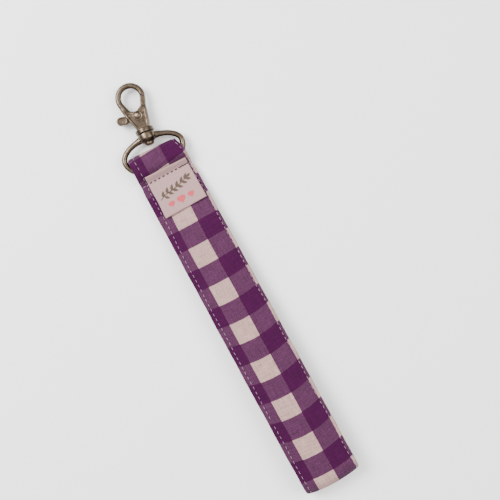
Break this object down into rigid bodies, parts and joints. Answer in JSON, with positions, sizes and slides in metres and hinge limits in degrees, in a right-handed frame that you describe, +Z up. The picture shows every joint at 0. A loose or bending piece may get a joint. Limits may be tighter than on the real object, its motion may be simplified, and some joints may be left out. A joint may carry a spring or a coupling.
{
  "type": "wristlet keychain",
  "caption": "Wrist strap keychain: padded cotton check band folded into a hand loop, stitched round an oval swivel ring that carries a spring-gate snap hook.",
  "frame": {"origin": "under the middle of the whole object, on the surface it lies on", "axes": "+Z up through the label side, +Y along the strap towards the hook, +X to the right seen from above"},
  "size_m": [0.0299, 0.1995, 0.011],
  "materials": {
    "strap_cover": "woven cotton check",
    "strap_core": "non-woven interfacing",
    "thread": "polyester thread",
    "label": "cotton tape",
    "metal": "antique plated casting",
    "spring": "spring wire"
  },
  "bodies": {
    "strap_base": {"strap_cover_base": "strap_cover", "strap_core_base": "strap_core", "topstitch_base": "thread", "cross_seam_thread": "thread", "label_hem": "label"},
    "back_lower": {"strap_cover_back_lower": "strap_cover", "strap_core_back_lower": "strap_core", "topstitch_back_lower": "thread"},
    "front_lower": {"strap_cover_front_lower": "strap_cover", "strap_core_front_lower": "strap_core", "topstitch_front_lower": "thread"},
    "front_upper": {"strap_cover_front_upper": "strap_cover", "strap_core_front_upper": "strap_core", "topstitch_front_upper": "thread"},
    "label": {"label_flap": "label"},
    "ring": {"swivel_ring": "metal"},
    "hook": {"hook_body": "metal", "swivel_rivet": "metal", "gate_rivet": "metal", "gate_spring": "spring"},
    "gate": {"gate_lever": "metal"}
  },
  "joints": [
    {"name": "loop_open", "type": "hinge", "parent": "strap_base", "child": "back_lower", "pos_m": [0, -0.0202, 0.0018], "axis": [-1, 0, 0], "range_deg": [0, 50]},
    {"name": "loop_tip", "type": "hinge", "parent": "back_lower", "child": "front_lower", "pos_m": [0, -0.0997, 0.0055], "axis": [-1, 0, 0], "range_deg": [-50, 0]},
    {"name": "loop_front", "type": "hinge", "parent": "front_lower", "child": "front_upper", "pos_m": [0, -0.0247, 0.00745], "axis": [-1, 0, 0], "range_deg": [0, 50]},
    {"name": "label_lift", "type": "hinge", "parent": "front_upper", "child": "label", "pos_m": [0.00095, 0.0544, 0.00382], "axis": [-1, 0, 0], "range_deg": [0, 45]},
    {"name": "ring_swing", "type": "hinge", "parent": "strap_base", "child": "ring", "pos_m": [-0.0005, 0.0612, 0.0039], "axis": [0.9959, -0.0906, 0], "range_deg": [-75, 75]},
    {"name": "hook_swivel", "type": "hinge", "parent": "ring", "child": "hook", "pos_m": [0.00068, 0.07415, 0.0039], "axis": [0.0906, 0.9959, 0], "continuous": true},
    {"name": "gate_open", "type": "hinge", "parent": "hook", "child": "gate", "pos_m": [0.00161, 0.0844, 0.0039], "axis": [0, 0, 1], "range_deg": [0, 25], "stiffness_Nm_per_rad": 0.01, "springref_deg": -20.05, "deforming": ["gate_spring"]}
  ],
  "couplings": [
    {"joint": "loop_tip", "follows": "loop_open", "ratio": -1},
    {"joint": "loop_front", "follows": "loop_open", "ratio": 1}
  ]
}
